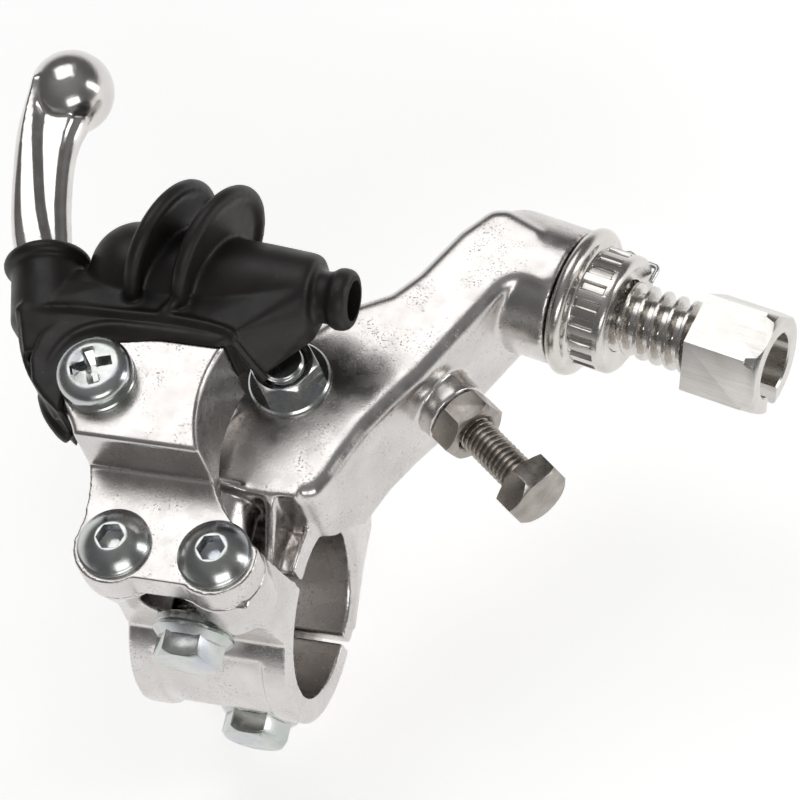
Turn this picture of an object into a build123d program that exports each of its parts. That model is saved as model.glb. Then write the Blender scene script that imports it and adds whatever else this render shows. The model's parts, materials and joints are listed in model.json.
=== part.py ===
from build123d import *
import os
from math import cos, radians, sin

# Clutch perch for a 22.2 mm handlebar: a split clamp with an arm that carries a quick cable adjuster,
# a fork for the clutch lever, a reach stop screw, and a small ball-ended hot start lever on a stepped
# bracket, under a rubber boot.
# Frame: origin at the middle of the handlebar bore, +X along the bar towards the middle of the motorcycle,
# +Y forward, +Z up along the lever pivots. Millimetres.

# Handlebar clamp. Its own frame leans from +Y towards +Z by the tilt.
BORE_R = 11.15
CLAMP_R = 14.5
CLAMP_WAIST_R, CLAMP_BAND = 13.8, 3.4
CLAMP_END = 10.7
CLAMP_TILT = 7.5
SPLIT = 0.5
BOLT_OFFSET = 16.5
CAP_SEAT = -8.4
LUG_R = 5.9
LUG_DEPTH = 9.0
BOLT_HOLE_END = 12.0
WASHER_R, WASHER_THICK = 5.1, 1.3
CLAMP_BOLT_R = 2.95

# Casting of the perch
ARM_BOTTOM, ARM_TOP = 4.0, 22.0
FORK_BOTTOM, FORK_TOP = 8.2, 16.4
LEVER_PIVOT = (5.5, 21.6)
EAR_R = 8.6
FORK_R = 12.5
PIVOT_BOLT_R = 2.95

# Reach stop screw: its axis is level
STOP_START = (25.3, 24.4)
STOP_ANGLE = -36.7
STOP_R = 2.45
STOP_LENGTH = 30.0
STOP_HEAD_AT, STOP_HEAD = 13.4, 3.3
M5_FLATS, M5_NUT = 8.0, 4.0

# Cable adjuster: its axis is level too, and distances along it count from the wheel's flange
LINE_HEIGHT = 13.0
ADJUSTER_START = (37.8, 42.9)
ADJUSTER_ANGLE = -12.2
HOUSING_R = 9.1
HOUSING_START, HOUSING_END = -14.8, -1.4
WHEEL_FLANGE_R, WHEEL_FLANGE_HALF = 9.9, 1.1
WHEEL_R, WHEEL_END = 7.9, 6.3
WHEEL_SPLINES = 20
THREAD_R = 4.8
HEX_START, HEX_END, HEX_FLATS = 17.0, 27.2, 12.8
BARREL_START, BARREL_BORE_START = -1.5, -9.9
CABLE_SLOT = 2.6
INNER_CABLE_R = 1.5
CABLE_SEAT_R, CABLE_SEAT_DEPTH = 4.3, 6.0
DETENT_WIRE_R = 0.45
DETENT_ANGLE = 176
DETENT_PATH = ((1.9, 7.1), (1.9, 9.2), (2.8, 9.2), (3.4, 8.5), (6.9, 8.5), (6.9, 5.8))

# Hot start bracket, lever and boot
PLATE_BOTTOM, PLATE_TOP, BLOCK_TOP = 24.4, 28.8, 37.0
STEP_Y = 2.9
SLOT_BOTTOM, SLOT_TOP = 29.8, 34.4
HOT_PIVOT = (-13.6, 10.8)
BRACKET_SCREWS = ((4.9, -7.1), (-8.3, -7.5))
LOBE_R = 5.4
RELIEF_CENTRE, RELIEF_R = (18.7, 11.35), 18.7
M5_R = 2.45
BUTTON_R, BUTTON_HEIGHT = 4.75, 2.75
PAN_R, PAN_HEIGHT = 4.9, 3.4
SMALL_WASHER = 0.8
LEVER_BOTTOM, LEVER_TOP = 30.1, 34.1
BUSH_R = 3.2
HUB_R = 5.2
BALL_CENTRE, BALL_R = (-30.9, 53.6, 33.0), 5.6
CABLE_LINE = (28.4, 33.0)
CABLE_PORT_R = 2.6
BOOT_BOTTOM, BOOT_SKIRT_TOP, BOOT_TOP = 27.9, 36.9, 38.4
BOOT_WALL = 1.6
BOOT_BAG_R, BOOT_CONE_R, BOOT_NECK_R = 6.8, 5.3, 4.0
BOOT_BAG_X, BOOT_CONE_X, BOOT_PORT_X = -14.0, 9.8, 14.6
FIN_CENTRE, FIN_R, FIN_THICK = (31.0, 36.4), 9.4, 1.8
FIN_TURN = -18.0
FIN_X = (-10.6, -4.4)

TILT = Rot(CLAMP_TILT, 0, 0)


def rod(radius, length, start=(0, 0, 0), direction=(0, 0, 1)):
    """A round bar that begins at start and runs along direction."""
    return extrude(Plane(origin=start, z_dir=direction) * Circle(radius), amount=length)


def hex_bar(flats, length, start=(0, 0, 0), direction=(0, 0, 1), turn=0.0):
    section = RegularPolygon(flats / 2, 6, major_radius=False, rotation=turn)
    return extrude(Plane(origin=start, z_dir=direction) * section, amount=length)


def block(low, high):
    """A box between two opposite corners."""
    size = [h - l for l, h in zip(low, high)]
    middle = [(h + l) / 2 for l, h in zip(low, high)]
    return Pos(*middle) * Box(*size)


def prism(points, bottom, top):
    """A closed outline in plan, raised from one level to another."""
    return extrude(Pos(0, 0, bottom) * make_face(Polyline(*points, close=True)), amount=top - bottom)


def round_edges(shape, edges, radius):
    """Round all the edges together, or one by one where they can't all take the radius."""
    try:
        whole = fillet(edges, radius)
        if whole.is_valid and len(whole.solids()) == len(shape.solids()):
            return whole
    except Exception:
        pass
    for middle in [edge.center() for edge in edges]:
        near = min(shape.edges(), key=lambda edge: (edge.center() - middle).length)
        try:
            trial = fillet(near, radius)
            if trial.is_valid and len(trial.solids()) == len(shape.solids()):
                shape = trial
        except Exception:
            pass
    return shape


def level_frame(start, angle, distance):
    """A plane across a level axis at LINE_HEIGHT: local x is level, local y points down."""
    turn = radians(angle)
    axis = Vector(cos(turn), sin(turn), 0)
    origin = Vector(start[0], start[1], LINE_HEIGHT) + axis * distance
    return Plane(origin=origin, x_dir=(sin(turn), -cos(turn), 0), z_dir=axis)


def adjuster(distance):
    return level_frame(ADJUSTER_START, ADJUSTER_ANGLE, distance)


def stop(distance):
    return level_frame(STOP_START, STOP_ANGLE, distance)


def along(frame, section, start, end):
    """A section run along one of the two level axes."""
    return extrude(frame(start) * section, amount=end - start)


def clamp_half(side):
    """Half of the split ring with its two bolt lugs, in the clamp's own frame."""
    depth = LUG_DEPTH if side > 0 else -CAP_SEAT
    half = rod(CLAMP_R, 2 * CLAMP_END, (-CLAMP_END, 0, 0), (1, 0, 0))
    for lug in (1, -1):
        half += rod(LUG_R, depth, (0, 0, lug * BOLT_OFFSET), (0, side, 0))
        near, far = sorted((lug * (CLAMP_R - 6), lug * BOLT_OFFSET))
        low, high = sorted((0, side * depth))
        half += block((-LUG_R, low, near), (LUG_R, high, far))
    low, high = sorted((side * SPLIT, side * 60))
    return half & block((-60, low, -60), (60, high, 60))


def bolt_holes(radius):
    """The lower hole goes through its lug, and the upper one ends short of the fork's ear."""
    top = rod(radius, 40 + BOLT_HOLE_END, (0, -40, BOLT_OFFSET), (0, 1, 0))
    return top + rod(radius, 40 + BOLT_HOLE_END, (0, -40, -BOLT_OFFSET), (0, 1, 0))


def clamp_web():
    """The gusset that joins the clamp to the upper ear of the fork."""
    profile = [(0, -2.6, 8.0), (0, -2.6, 14.6), (0, 0.5, 16.6), (0, 4.6, 21.2), (0, 5.6, ARM_TOP),
               (0, 14.0, ARM_TOP), (0, 14.0, 8.0)]
    face = make_face(Polyline(*profile, close=True))
    return Pos(-7.6, 0, 0) * extrude(face, amount=CLAMP_END + 7.6, dir=(1, 0, 0))


def clamp_rib():
    """The rib under the arm, flush with the end of the clamp."""
    profile = [(0, 4.0, -13.4), (0, 12.0, -9.6), (0, 17.0, -8.4), (0, 20.5, -3.5), (0, 22.5, 4.6),
               (0, 4.0, 4.6)]
    face = make_face(Polyline(*profile, close=True))
    return Pos(6.8, 0, 0) * extrude(face, amount=4.4, dir=(1, 0, 0))


def web_pockets():
    """Hollows between the ribs of the gusset, down to the ring and round the upper bolt's boss."""
    hollow = block((0.2, -4.0, 8.0), (6.3, 5.2, 40.0)) + block((7.7, -4.0, 8.0), (9.9, 5.4, 40.0))
    hollow += block((-7.0, -4.0, 8.0), (-0.9, 5.2, 40.0))
    hollow -= TILT * rod(4.5, 40, (0, -20, BOLT_OFFSET), (0, 1, 0))
    hollow += block((9.8, -4.0, 8.0), (CLAMP_END + 1, 5.4, 40.0)) - rod(15.2, 80, (-40, 0, 0), (1, 0, 0))
    return hollow - rod(13.2, 80, (-40, 0, 0), (1, 0, 0))


def make_perch_body():
    pivot_x, pivot_y = LEVER_PIVOT
    arm = prism([(10.7, 5.6), (13.0, 6.2), (14.4, 9.0), (15.4, 12.2), (17.0, 16.2), (19.4, 20.4),
                 (22.3, 24.8), (29.6, 38.6), (31.2, 39.9),
                 (36.4, 38.5), (37.0, 42.0), (33.0, 48.6), (27.4, 51.0), (24.9, 50.6), (21.4, 46.6),
                 (17.6, 39.9), (14.8, 36.6), (10.0, 34.0), (2.0, 26.0), (-3.1, 13.0), (-3.1, 5.6)],
                ARM_BOTTOM, ARM_TOP)
    arm += rod(EAR_R, ARM_TOP - ARM_BOTTOM, (pivot_x, pivot_y, ARM_BOTTOM))
    corners = [edge for edge in arm.edges().filter_by(Axis.Z)
               if edge.center().X > 20 or (edge.center().X > 12 and edge.center().Y < 8)]
    arm = round_edges(arm, corners, 2.4)
    rims = [edge for edge in arm.edges() if abs(edge.center().Z - ARM_TOP) < 0.01
            or abs(edge.center().Z - ARM_BOTTOM) < 0.01]
    arm = round_edges(arm, rims, 2.2)
    housing = along(adjuster, Circle(HOUSING_R), HOUSING_START, HOUSING_END)
    far_rim = min(housing.edges(), key=lambda edge: edge.center().X)
    housing = fillet(far_rim, 4.5)
    beyond = along(adjuster, Rectangle(60, 60), HOUSING_END, 20)
    body = arm + housing - beyond
    body += along(stop, Circle(4.5), -5.0, 0.0)

    body += TILT * clamp_half(1)
    body += clamp_web() + clamp_rib() - rod(5.9, 20, (pivot_x, pivot_y, ARM_BOTTOM), (0, 0, -1))
    body -= TILT * block((-60, -60, -60), (60, SPLIT, 60))
    body -= web_pockets()

    fork = rod(FORK_R, FORK_TOP - FORK_BOTTOM, (pivot_x, pivot_y, FORK_BOTTOM))
    fork += prism([(pivot_x, pivot_y - FORK_R), (-30, 0), (-30, 60), (15.6, 60), (17.0, 37.0),
                   (pivot_x + 11.0, pivot_y + 6.0)], FORK_BOTTOM, FORK_TOP)
    body -= fork
    body -= rod(BORE_R, 60, (-30, 0, 0), (1, 0, 0))
    body -= rod(BORE_R + 0.8, 30, (CLAMP_END, 0, 0), (1, 0, 0))
    body -= TILT * bolt_holes(CLAMP_BOLT_R + 0.05)
    body -= rod(PIVOT_BOLT_R + 0.05, 60, (pivot_x, pivot_y, -10))
    body -= along(stop, Circle(STOP_R + 0.05), -40, 10)

    body -= along(adjuster, Circle(THREAD_R + 0.1), BARREL_BORE_START, 10)
    body -= along(adjuster, Circle(2.6), -40, 0)
    body -= along(adjuster, Pos(0, 8) * Rectangle(3.4, 16), -6.6, 0)
    return body


def make_clamp_cap():
    cap = clamp_half(-1)
    shoulders = [(-CLAMP_END, -SPLIT, 11.5), (CLAMP_END, -SPLIT, 11.5), (CLAMP_END, -SPLIT, 13.0),
                 (9.3, -SPLIT, 23.0), (9.3, -SPLIT, 30.0), (-9.3, -SPLIT, 30.0), (-9.3, -SPLIT, 23.0),
                 (-CLAMP_END, -SPLIT, 13.0)]
    cap += extrude(make_face(Polyline(*shoulders, close=True)), amount=-CAP_SEAT - SPLIT, dir=(0, -1, 0))
    cap -= rod(BORE_R, 60, (-30, 0, 0), (1, 0, 0))
    # the ring is thinner between the bands at its ends
    half = CLAMP_END - CLAMP_BAND
    waist = rod(CLAMP_R + 4, 2 * half, (-half, 0, 0), (1, 0, 0))
    waist -= rod(CLAMP_WAIST_R, 2 * half, (-half, 0, 0), (1, 0, 0))
    cap -= waist & block((-half, -40, -9.6), (half, -6.0, 9.6))
    cap = TILT * cap
    # seats of the hot start bracket: a boss under each of its screws, and a hollow between them
    for (x, y), foot in zip(BRACKET_SCREWS, (LOBE_R, 3.2)):
        boss = Pos(x, y, PLATE_BOTTOM - 3.7) * Cone(foot, LOBE_R, 7.4) if foot < LOBE_R else rod(
            LOBE_R, 7.4, (x, y, PLATE_BOTTOM - 7.4))
        cap += boss & TILT * block((-60, -60, 0), (60, -SPLIT, 60))
    cap -= block((-60, -60, PLATE_BOTTOM), (60, 60, 60))
    # room for the washers and bolt heads
    for side in (1, -1):
        cap -= TILT * rod(6.0, 12, (0, CAP_SEAT - 12, side * BOLT_OFFSET), (0, 1, 0))
    cap -= TILT * bolt_holes(CLAMP_BOLT_R + 0.35)
    hollow_left, hollow_right = BRACKET_SCREWS[1][0] + LOBE_R, BRACKET_SCREWS[0][0] - LOBE_R
    cap -= block((hollow_left, -20, 21.6), (hollow_right, -5.0, 60))
    cap -= rod(4.0, 15, ((hollow_left + hollow_right) / 2, -20, 20.9), (0, 1, 0))
    for x, y in BRACKET_SCREWS:
        cap -= rod(M5_R + 0.05, 20, (x, y, 18.6))
    return cap


def make_clamp_bolts():
    """Two M6 flange bolts from the rear, with their hexagon heads."""
    bolts = []
    seat = CAP_SEAT - WASHER_THICK
    for side in (1, -1):
        at = (0, seat, side * BOLT_OFFSET)
        head = hex_bar(8.0, 4.4, at, (0, -1, 0), turn=30)
        flange = rod(5.3, 1.1, at, (0, -1, 0))
        flange = fillet(flange.edges(), 0.4)
        bolts.append(TILT * (rod(CLAMP_BOLT_R, 20.0, at, (0, 1, 0)) + head + flange))
    return Compound(children=bolts)


def make_clamp_washers():
    washers = []
    for side in (1, -1):
        at = (0, CAP_SEAT, side * BOLT_OFFSET)
        disc = rod(WASHER_R, WASHER_THICK, at, (0, -1, 0))
        washers.append(TILT * (disc - rod(CLAMP_BOLT_R, WASHER_THICK, at, (0, -1, 0))))
    return Compound(children=washers)


def make_lever_pivot_bolt():
    x, y = LEVER_PIVOT
    bolt = rod(PIVOT_BOLT_R, 27.4 - ARM_BOTTOM, (x, y, ARM_BOTTOM))
    bolt += hex_bar(8.0, 4.2, (x, y, ARM_BOTTOM), (0, 0, -1))
    flange = rod(5.3, 1.1, (x, y, ARM_BOTTOM), (0, 0, -1))
    return bolt + fillet(flange.edges(), 0.4)


def make_lever_pivot_nut():
    x, y = LEVER_PIVOT
    flange = rod(5.4, 1.1, (x, y, ARM_TOP))
    nut = fillet(flange.edges(), 0.4) + hex_bar(8.0, 4.8, (x, y, ARM_TOP), turn=10)
    return nut - rod(PIVOT_BOLT_R, 10, (x, y, ARM_TOP))


def make_stop_screw():
    screw = along(stop, Circle(STOP_R), STOP_HEAD_AT - STOP_LENGTH, STOP_HEAD_AT)
    head = along(stop, RegularPolygon(M5_FLATS / 2, 6, major_radius=False, rotation=12),
                 STOP_HEAD_AT, STOP_HEAD_AT + STOP_HEAD)
    rim = along(stop, Circle(M5_FLATS / 2 + 0.62), STOP_HEAD_AT, STOP_HEAD_AT + STOP_HEAD)
    return screw + (head & chamfer(rim.faces().sort_by(SortBy.DISTANCE)[-1].edges(), 0.7))


def make_stop_locknut():
    nut = along(stop, RegularPolygon(M5_FLATS / 2, 6, major_radius=False, rotation=20), 0.0, M5_NUT)
    return nut - along(stop, Circle(STOP_R + 0.05), -1, 10)


def make_adjuster_wheel():
    flange = along(adjuster, Circle(WHEEL_FLANGE_R), -WHEEL_FLANGE_HALF, WHEEL_FLANGE_HALF)
    flange = fillet(flange.edges(), 1.0)
    wheel = flange + along(adjuster, Circle(WHEEL_R), 0.0, WHEEL_END)
    flute = Circle(0.55)
    for index in range(WHEEL_SPLINES):
        spot = Rot(0, 0, 360 / WHEEL_SPLINES * index) * Pos(WHEEL_R + 0.15, 0) * flute
        wheel -= along(adjuster, spot, WHEEL_FLANGE_HALF + 0.3, WHEEL_END - 1.1)
    return wheel - along(adjuster, Circle(THREAD_R + 0.05), -5, 10) - detent_seat()


def make_adjuster_barrel():
    barrel = along(adjuster, Circle(THREAD_R), BARREL_START, HEX_START)
    barrel += along(adjuster, RegularPolygon(HEX_FLATS / 2, 6, major_radius=False), HEX_START, HEX_END)
    barrel -= along(adjuster, Circle(INNER_CABLE_R), BARREL_START - 1, HEX_END + 1)
    barrel -= along(adjuster, Circle(CABLE_SEAT_R), HEX_END - CABLE_SEAT_DEPTH, HEX_END + 1)
    # the cable slot leaves through the corner of the hexagon that points down and to the rear
    slot = Rot(0, 0, 60) * Pos(5, 0) * Rectangle(10, CABLE_SLOT)
    return barrel - along(adjuster, slot, BARREL_START - 1, HEX_END + 1)


def detent_point(distance, radius):
    turn = radians(DETENT_ANGLE)
    return adjuster(distance).from_local_coords((radius * cos(turn), radius * sin(turn), 0))


def detent_seat():
    """The hole in the wheel that the wire's end sits in."""
    (start, inner), (_, outer) = DETENT_PATH[:2]
    low, high = detent_point(start, inner), detent_point(start, outer)
    return rod(DETENT_WIRE_R, 2.0, low, high - low)


def make_detent_spring():
    """The wire clip on the wheel that clicks into the barrel's slot."""
    points = [detent_point(distance, radius) for distance, radius in DETENT_PATH]
    wire = rod(DETENT_WIRE_R, (points[1] - points[0]).length, points[0], points[1] - points[0])
    for here, there in zip(points[1:], points[2:]):
        wire += rod(DETENT_WIRE_R, (there - here).length, here, there - here)
        wire += Pos(*here) * Sphere(DETENT_WIRE_R)
    return wire


def bracket_outline():
    """The plate in plan: two screw lobes, a waist and the rounded end round the hot start pivot."""
    x, y = HOT_PIVOT
    with BuildSketch() as sketch:
        with BuildLine():
            Spline((-13.7, -7.5), (-13.9, 0.0), (-15.7, 4.6), (-18.6, 8.4), (-18.9, 12.6), (-15.0, 17.9))
            Polyline((-15.0, 17.9), (8.0, 17.9), (8.0, -7.1), (4.9, -11.6), (-8.3, -11.6), (-13.7, -7.5))
        make_face()
        with Locations(*BRACKET_SCREWS):
            Circle(LOBE_R)
        with Locations(RELIEF_CENTRE):
            Circle(RELIEF_R, mode=Mode.SUBTRACT)
    return sketch.sketch


def make_hot_start_bracket():
    outline = bracket_outline()
    plate = extrude(Pos(0, 0, PLATE_BOTTOM) * outline, amount=PLATE_TOP - PLATE_BOTTOM)
    upper = extrude(Pos(0, 0, PLATE_BOTTOM) * outline, amount=BLOCK_TOP - PLATE_BOTTOM)
    upper &= block((-60, STEP_Y, 0), (60, 60, 60))
    bracket = plate + upper
    rims = [edge for edge in bracket.edges() if abs(edge.center().Z - BLOCK_TOP) < 0.01]
    bracket = round_edges(bracket, rims, 0.7)
    # the cable stop stands forward of the block, inside the boot
    line_y, line_z = CABLE_LINE
    bracket += block((-4.6, 17.0, 29.6), (0.2, line_y + 2.1, 36.2))
    bracket -= rod(1.5, 20, (-10, line_y, line_z), (1, 0, 0))
    bracket -= rod(CABLE_PORT_R, 10, (-2.6, line_y, line_z), (1, 0, 0))
    bracket -= prism([(-4.6, 40), (-4.6, 9.0), (-8.0, 4.9), (-60, 4.9), (-60, 40)], SLOT_BOTTOM, SLOT_TOP)
    bracket -= rod(M5_R + 0.05, 40, (*HOT_PIVOT, 10))
    for x, y in BRACKET_SCREWS:
        bracket -= rod(M5_R + 0.05, 40, (x, y, 10))
    return bracket


def button_screw(x, y):
    head = rod(BUTTON_R, BUTTON_HEIGHT, (x, y, PLATE_TOP))
    sphere_r = (BUTTON_R ** 2 + BUTTON_HEIGHT ** 2) / (2 * BUTTON_HEIGHT) + 0.35
    head &= Pos(x, y, PLATE_TOP + BUTTON_HEIGHT - sphere_r) * Sphere(sphere_r)
    head -= hex_bar(3.0, 5, (x, y, PLATE_TOP + 1.0))
    return head + rod(M5_R, 10, (x, y, PLATE_TOP - 10))


def make_bracket_screws():
    return Compound(children=[button_screw(x, y) for x, y in BRACKET_SCREWS])


def make_hot_pivot_screw():
    x, y = HOT_PIVOT
    seat = BLOCK_TOP + SMALL_WASHER
    head = rod(PAN_R, PAN_HEIGHT, (x, y, seat))
    head = fillet(head.edges().sort_by(Axis.Z)[-1], 1.9)
    for turn in (25, 115):
        head -= Pos(x, y, seat + PAN_HEIGHT) * Rot(0, 0, turn) * Box(5.0, 1.1, 3.2)
    return head + rod(M5_R, seat - 18.8, (x, y, 18.8))


def make_hot_pivot_washer():
    disc = rod(4.95, SMALL_WASHER, (*HOT_PIVOT, BLOCK_TOP))
    return disc - rod(M5_R, 5, (*HOT_PIVOT, BLOCK_TOP - 1))


def make_hot_pivot_nut():
    nut = hex_bar(M5_FLATS, 4.8, (*HOT_PIVOT, PLATE_BOTTOM), (0, 0, -1))
    return nut - rod(M5_R, 10, (*HOT_PIVOT, PLATE_BOTTOM - 8))


def make_lever_bush():
    return rod(BUSH_R, LEVER_TOP - LEVER_BOTTOM, (*HOT_PIVOT, LEVER_BOTTOM)) - rod(
        M5_R + 0.05, 20, (*HOT_PIVOT, LEVER_BOTTOM - 5))


def make_hot_start_lever():
    x, y = HOT_PIVOT
    thick = LEVER_TOP - LEVER_BOTTOM
    plate = rod(HUB_R, thick, (x, y, LEVER_BOTTOM))
    plate += prism([(x - 4.9, y), (x + 4.7, y + 1.0), (-7.4, 24.0), (-7.6, 30.0), (-13.6, 30.2),
                    (-17.4, 23.8), (-22.4, 26.6), (-23.6, 30.4), (-29.0, 28.4), (-25.0, 19.4)],
                   LEVER_BOTTOM, LEVER_TOP)
    upright = [edge for edge in plate.edges().filter_by(Axis.Z) if edge.center().Y > 18]
    plate = round_edges(plate, upright, 1.0)
    # the finger piece swells from the plate to the ball
    route = Spline((-26.0, 25.4, 32.1), (-28.0, 30.2, 32.6), (-31.3, 40.8, 33.0), (-32.4, 46.2, 33.0),
                   (-32.0, 50.4, 33.0), BALL_CENTRE)
    sections = []
    for place, width, height in ((0.0, 5.0, 3.8), (0.18, 6.0, 4.6), (0.5, 6.9, 5.8), (0.78, 6.9, 6.2),
                                 (1.0, 7.6, 7.6)):
        plane = Plane(origin=route @ place, x_dir=(0, 0, 1), z_dir=route % place)
        sections.append(plane * Ellipse(height / 2, width / 2))
    lever = plate + loft(sections) + Pos(*BALL_CENTRE) * Sphere(BALL_R)
    lever -= rod(BUSH_R, 20, (x, y, LEVER_BOTTOM - 5))
    # cable nipple seat in the nose
    line_y, line_z = CABLE_LINE
    lever -= rod(1.9, 20, (-10.6, line_y - 0.8, line_z), (0, 0, 1))
    return lever


def boot_tube(shrink, end_x):
    """The boot's round bag and its taper towards the cable, or the hollow in them."""
    bag_r, cone_r = BOOT_BAG_R - shrink, BOOT_CONE_R - shrink
    cone_x = BOOT_CONE_X - shrink
    neck_r = BOOT_NECK_R if shrink == 0 else CABLE_PORT_R
    left = (BOOT_BAG_X - bag_r, 0)
    slant = radians(45)
    shoulder = (BOOT_BAG_X - bag_r * cos(slant), bag_r * sin(slant))
    profile = ThreePointArc(left, shoulder, (BOOT_BAG_X, bag_r))
    profile += Polyline((BOOT_BAG_X, bag_r), (cone_x, cone_r), (cone_x, neck_r), (end_x, neck_r),
                        (end_x, 0), left)
    return Pos(0, *CABLE_LINE) * revolve(make_face(profile), Axis.X)


def make_dust_boot():
    """The rubber boot: a bag round the lever's root, open at the lever and along the bracket."""
    sleeve = [(-28.8, 19.4), (-30.3, 23.0), (-30.7, 24.7), (-29.3, 27.5), (-26.3, 29.9), (-23.4, 29.2),
              (-20.5, 27.7), (-15.0, 27.7)]
    skirt = [(-17.6, 5.2), (-20.0, 7.2), (-21.6, 8.6), (-24.9, 11.0), (-25.5, 13.4)] + sleeve + [
        (8.6, 28.0), (8.6, 24.6), (3.6, 18.4), (3.4, 15.6), (-15.6, 18.4)]
    boot = prism(skirt, BOOT_BOTTOM, BOOT_SKIRT_TOP)
    upper = [(-27.6, 19.4), (-29.2, 22.0), (-29.0, 23.8), (-27.6, 26.2), (-25.2, 27.8), (-22.2, 27.2),
             (-20.0, 26.4), (-15.0, 27.7), (4.0, 27.7), (2.6, 18.4), (-19.6, 18.4)]
    boot += prism(upper, BOOT_SKIRT_TOP, BOOT_TOP)
    boot += boot_tube(0, BOOT_PORT_X)
    normal = (cos(radians(FIN_TURN)), sin(radians(FIN_TURN)), 0)
    above = block((-60, 19.0, 33.0), (60, 60, 60))
    for x in FIN_X:
        boot += rod(FIN_R, FIN_THICK, (x, *FIN_CENTRE), normal) & above
    # the bag's inside
    inner = [(-17.0, 6.6), (-18.6, 7.5), (-20.2, 9.0), (-23.6, 13.0), (-27.5, 20.0), (-29.1, 23.6),
             (-29.2, 24.9), (-28.2, 26.7), (-26.0, 28.5), (-14.0, 26.6), (1.2, 26.6), (1.2, 17.0),
             (-15.0, 17.0), (-18.0, 13.6)]
    hollow = prism(inner, BOOT_BOTTOM + 1.2, 36.8)
    hollow += boot_tube(BOOT_WALL, 40)
    # the mouth that the lever leaves by
    hollow += prism([(-33.6, 26.6), (-29.7, 24.6), (-24.0, 25.0), (-22.0, 27.4), (-23.0, 40.0),
                     (-38.0, 40.0)], 29.1, 36.7)
    # it grips the edge of the bracket
    hollow += extrude(Pos(0, 0, PLATE_BOTTOM) * bracket_outline(), amount=BLOCK_TOP - PLATE_BOTTOM)
    return boot - hollow


NODES = {
    "perch_body": make_perch_body,
    "clamp_cap": make_clamp_cap,
    "clamp_bolts": make_clamp_bolts,
    "clamp_washers": make_clamp_washers,
    "lever_pivot_bolt": make_lever_pivot_bolt,
    "lever_pivot_nut": make_lever_pivot_nut,
    "stop_screw": make_stop_screw,
    "stop_locknut": make_stop_locknut,
    "adjuster_wheel": make_adjuster_wheel,
    "adjuster_barrel": make_adjuster_barrel,
    "detent_spring": make_detent_spring,
    "hot_start_bracket": make_hot_start_bracket,
    "bracket_screws": make_bracket_screws,
    "hot_pivot_screw": make_hot_pivot_screw,
    "hot_pivot_washer": make_hot_pivot_washer,
    "hot_pivot_nut": make_hot_pivot_nut,
    "hot_start_lever": make_hot_start_lever,
    "lever_bush": make_lever_bush,
    "dust_boot": make_dust_boot,
}

os.makedirs("parts", exist_ok=True)
for name, make in NODES.items():
    shape = make()
    print(name, len(shape.solids()), round(shape.volume, 1))
    export_step(shape, "parts/" + name + ".step")
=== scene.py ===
import json
from math import atan2, cos, pi, radians, sin, sqrt

import bmesh
import bpy
from mathutils import Matrix, Vector


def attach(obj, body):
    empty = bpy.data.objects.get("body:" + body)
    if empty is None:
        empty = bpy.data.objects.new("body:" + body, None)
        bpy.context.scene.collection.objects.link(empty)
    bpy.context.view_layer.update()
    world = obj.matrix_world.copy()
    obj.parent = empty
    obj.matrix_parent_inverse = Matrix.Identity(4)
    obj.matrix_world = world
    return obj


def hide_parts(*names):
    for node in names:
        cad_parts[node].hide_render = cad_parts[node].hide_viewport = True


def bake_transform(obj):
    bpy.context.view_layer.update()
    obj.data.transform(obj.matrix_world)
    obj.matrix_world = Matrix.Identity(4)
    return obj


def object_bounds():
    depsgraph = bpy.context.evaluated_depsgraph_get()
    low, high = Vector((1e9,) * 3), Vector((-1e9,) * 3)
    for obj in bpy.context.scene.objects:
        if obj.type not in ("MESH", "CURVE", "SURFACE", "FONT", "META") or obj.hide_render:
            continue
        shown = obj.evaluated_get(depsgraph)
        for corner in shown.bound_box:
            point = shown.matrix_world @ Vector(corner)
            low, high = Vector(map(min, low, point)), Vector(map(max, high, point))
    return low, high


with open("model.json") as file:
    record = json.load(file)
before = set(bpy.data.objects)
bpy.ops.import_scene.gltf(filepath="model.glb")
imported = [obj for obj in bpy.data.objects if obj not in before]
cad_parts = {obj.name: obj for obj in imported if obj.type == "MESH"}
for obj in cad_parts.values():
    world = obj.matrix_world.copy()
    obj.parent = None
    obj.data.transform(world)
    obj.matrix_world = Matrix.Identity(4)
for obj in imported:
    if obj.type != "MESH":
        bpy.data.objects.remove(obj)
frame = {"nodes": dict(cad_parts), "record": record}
cad_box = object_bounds()
NODES = frame["nodes"]

# Sizes and places are in millimetres, in the frame of the CAD model; directions are unit vectors.
MM = 0.001
UP = Vector((0, 0, 1))
DOWN = Vector((0, 0, -1))


# ---------- meshes ----------

def new_object(name, mesh):
    """A new object in the scene, from a mesh, camera or light."""
    piece = bpy.data.objects.new(name, mesh)
    bpy.context.scene.collection.objects.link(piece)
    return piece


def from_bmesh(name, bm):
    """An object made of a bmesh, its faces turned outwards."""
    bmesh.ops.recalc_face_normals(bm, faces=bm.faces)
    mesh = bpy.data.meshes.new(name)
    bm.to_mesh(mesh)
    bm.free()
    return new_object(name, mesh)


def hull(name, points):
    """The convex solid round some points, in millimetres."""
    bm = bmesh.new()
    for point in points:
        bm.verts.new(Vector(point) * MM)
    result = bmesh.ops.convex_hull(bm, input=bm.verts)
    loose = [v for v in result["geom_interior"] if isinstance(v, bmesh.types.BMVert)]
    bmesh.ops.delete(bm, geom=loose, context="VERTS")
    return from_bmesh(name, bm)


def slab(name, outline, bottom, top):
    """An outline in plan, raised from one level to another, in millimetres."""
    bm = bmesh.new()
    low = [bm.verts.new((x * MM, y * MM, bottom * MM)) for x, y in outline]
    high = [bm.verts.new((x * MM, y * MM, top * MM)) for x, y in outline]
    bm.faces.new(low[::-1])
    bm.faces.new(high)
    for i in range(len(low)):
        j = (i + 1) % len(low)
        bm.faces.new((low[i], low[j], high[j], high[i]))
    return from_bmesh(name, bm)


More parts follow.
